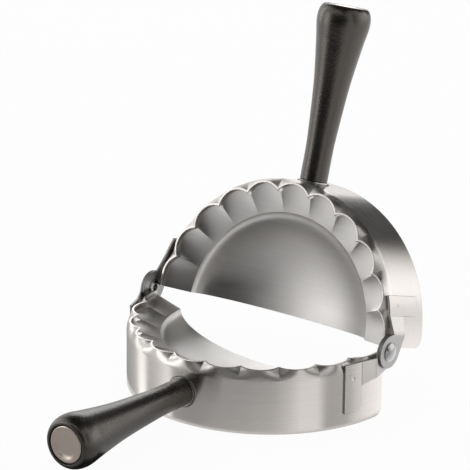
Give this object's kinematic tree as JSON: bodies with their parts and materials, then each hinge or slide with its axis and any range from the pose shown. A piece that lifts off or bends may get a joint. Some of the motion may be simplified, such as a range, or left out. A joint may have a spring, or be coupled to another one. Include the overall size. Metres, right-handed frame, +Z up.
{
  "type": "ravioli mould",
  "caption": "Hinged round ravioli mould in brushed steel: two half rings with scalloped rims and pressed trays, riveted side hinges, black trumpet-shaped handles.",
  "frame": {"origin": "centre of the whole mould's bounding box in plan, on the table that the front half's cutting edge stands on", "axes": "+Z up, +X along the hinge line to the right, +Y away from the front handle; the front handle points along -Y and the rear half stands raised"},
  "size_m": [0.1082, 0.1672, 0.1304],
  "materials": {
    "band_steel": "satin, brushed round the ring",
    "tray_steel": "satin, pressed sheet",
    "bracket_steel": "satin",
    "rivet_steel": "polished",
    "fastener_steel": "plain",
    "cap_steel": "satin",
    "black_plastic": "satin black"
  },
  "bodies": {
    "front_half": {"front_band": "band_steel", "front_tray": "tray_steel", "front_inner_bracket": "bracket_steel", "front_outer_bracket": "bracket_steel", "front_handle_stud": "fastener_steel", "front_grip": "black_plastic", "front_grip_washer": "fastener_steel", "front_grip_nut": "fastener_steel", "front_end_cap": "cap_steel", "right_rivet": "rivet_steel"},
    "rear_half": {"rear_band": "band_steel", "rear_tray": "tray_steel", "rear_inner_bracket": "bracket_steel", "rear_outer_bracket": "bracket_steel", "rear_handle_stud": "fastener_steel", "rear_grip": "black_plastic", "rear_grip_washer": "fastener_steel", "rear_grip_nut": "fastener_steel", "rear_end_cap": "cap_steel", "left_rivet": "rivet_steel"}
  },
  "joints": [
    {"name": "hinge", "type": "hinge", "parent": "front_half", "child": "rear_half", "pos_m": [0, 0.03023, 0.02345], "axis": [1, 0, 0], "range_deg": [-71.7, 108.3]}
  ]
}
